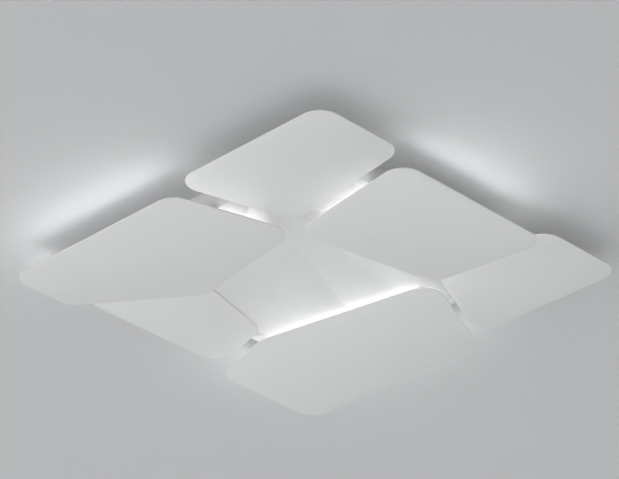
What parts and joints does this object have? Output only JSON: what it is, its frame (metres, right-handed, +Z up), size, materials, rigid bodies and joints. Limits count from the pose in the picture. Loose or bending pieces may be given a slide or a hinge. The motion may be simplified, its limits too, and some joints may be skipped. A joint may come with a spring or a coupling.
{
  "type": "square ceiling light",
  "caption": "Flat square ceiling light: a shallow canopy carries angular white plates at two levels, lit sideways from light boxes under the lower plates.",
  "frame": {"origin": "on the ceiling face, at the middle of the four slots of the two ceiling rails", "axes": "+Z up into the ceiling, the light hangs towards -Z, +X and +Y along the sides of its square"},
  "size_m": [0.8, 0.8, 0.0748],
  "materials": {
    "rail_steel": "galvanised",
    "canopy_lacquer": "fine matt white lacquer",
    "plate_lacquer": "fine matt white lacquer",
    "box_lacquer": "matt white lacquer",
    "zinc_steel": "zinc plated",
    "strip_board": "white flexible board",
    "diode": "silicone-filled diode",
    "opal": "opal, satin",
    "lead_jacket": "light grey sheath",
    "grommet_rubber": "black rubber",
    "clip_plastic": "natural nylon",
    "driver_case": "light grey enamel",
    "circuit_board": "green solder mask",
    "board_parts": "wound and moulded parts",
    "block_plastic": "light grey moulding",
    "clamp_brass": "bright",
    "lever_plastic": "orange moulding",
    "brown_wire": "brown insulation",
    "blue_wire": "blue insulation",
    "earth_wire": "green and yellow insulation",
    "tinned_copper": "tinned"
  },
  "bodies": {
    "luminaire": {"rail_left": "rail_steel", "rail_right": "rail_steel", "side_screws": "zinc_steel", "canopy_pan": "canopy_lacquer", "upper_plate_front_right": "plate_lacquer", "upper_plate_back_right": "plate_lacquer", "upper_plate_left": "plate_lacquer", "pan_nuts": "zinc_steel", "lower_plate_front_left": "plate_lacquer", "lower_plate_right": "plate_lacquer", "lower_plate_back_left": "plate_lacquer", "tray_nuts": "zinc_steel", "light_tray_front_left": "box_lacquer", "light_tray_right": "box_lacquer", "light_tray_back_left": "box_lacquer", "box_lid_front_left": "box_lacquer", "box_lid_right": "box_lacquer", "box_lid_back_left": "box_lacquer", "lid_screws": "zinc_steel", "clinch_nuts": "zinc_steel", "box_screws": "zinc_steel", "led_strip_front_left": "strip_board", "led_strip_right": "strip_board", "led_strip_back_left": "strip_board", "led_chips_front_left": "diode", "led_chips_right": "diode", "led_chips_back_left": "diode", "opal_cover_front_left": "opal", "opal_cover_right": "opal", "opal_cover_back_left": "opal", "lead_front_left": "lead_jacket", "lead_right": "lead_jacket", "lead_back_left": "lead_jacket", "lead_grommets": "grommet_rubber", "lead_clips": "clip_plastic", "driver_base": "driver_case", "driver_board": "circuit_board", "board_screws": "zinc_steel", "driver_parts": "board_parts", "driver_cover": "driver_case", "terminal_block": "block_plastic", "terminal_clamps": "clamp_brass", "small_nuts": "zinc_steel", "cord_clamp": "clip_plastic", "wire_live": "brown_wire", "wire_neutral": "blue_wire", "wire_earth": "earth_wire", "ring_terminal": "tinned_copper", "earth_washer": "zinc_steel"},
    "lever_earth": {"lever_earth": "lever_plastic"},
    "lever_neutral": {"lever_neutral": "lever_plastic"},
    "lever_live": {"lever_live": "lever_plastic"}
  },
  "joints": [
    {"name": "lever_earth_turn", "type": "hinge", "parent": "luminaire", "child": "lever_earth", "pos_m": [-0.068, -0.017, -0.0356], "axis": [-1, 0, 0], "range_deg": [0, 85]},
    {"name": "lever_neutral_turn", "type": "hinge", "parent": "luminaire", "child": "lever_neutral", "pos_m": [-0.06, -0.017, -0.0356], "axis": [-1, 0, 0], "range_deg": [0, 85]},
    {"name": "lever_live_turn", "type": "hinge", "parent": "luminaire", "child": "lever_live", "pos_m": [-0.052, -0.017, -0.0356], "axis": [-1, 0, 0], "range_deg": [0, 85]}
  ]
}
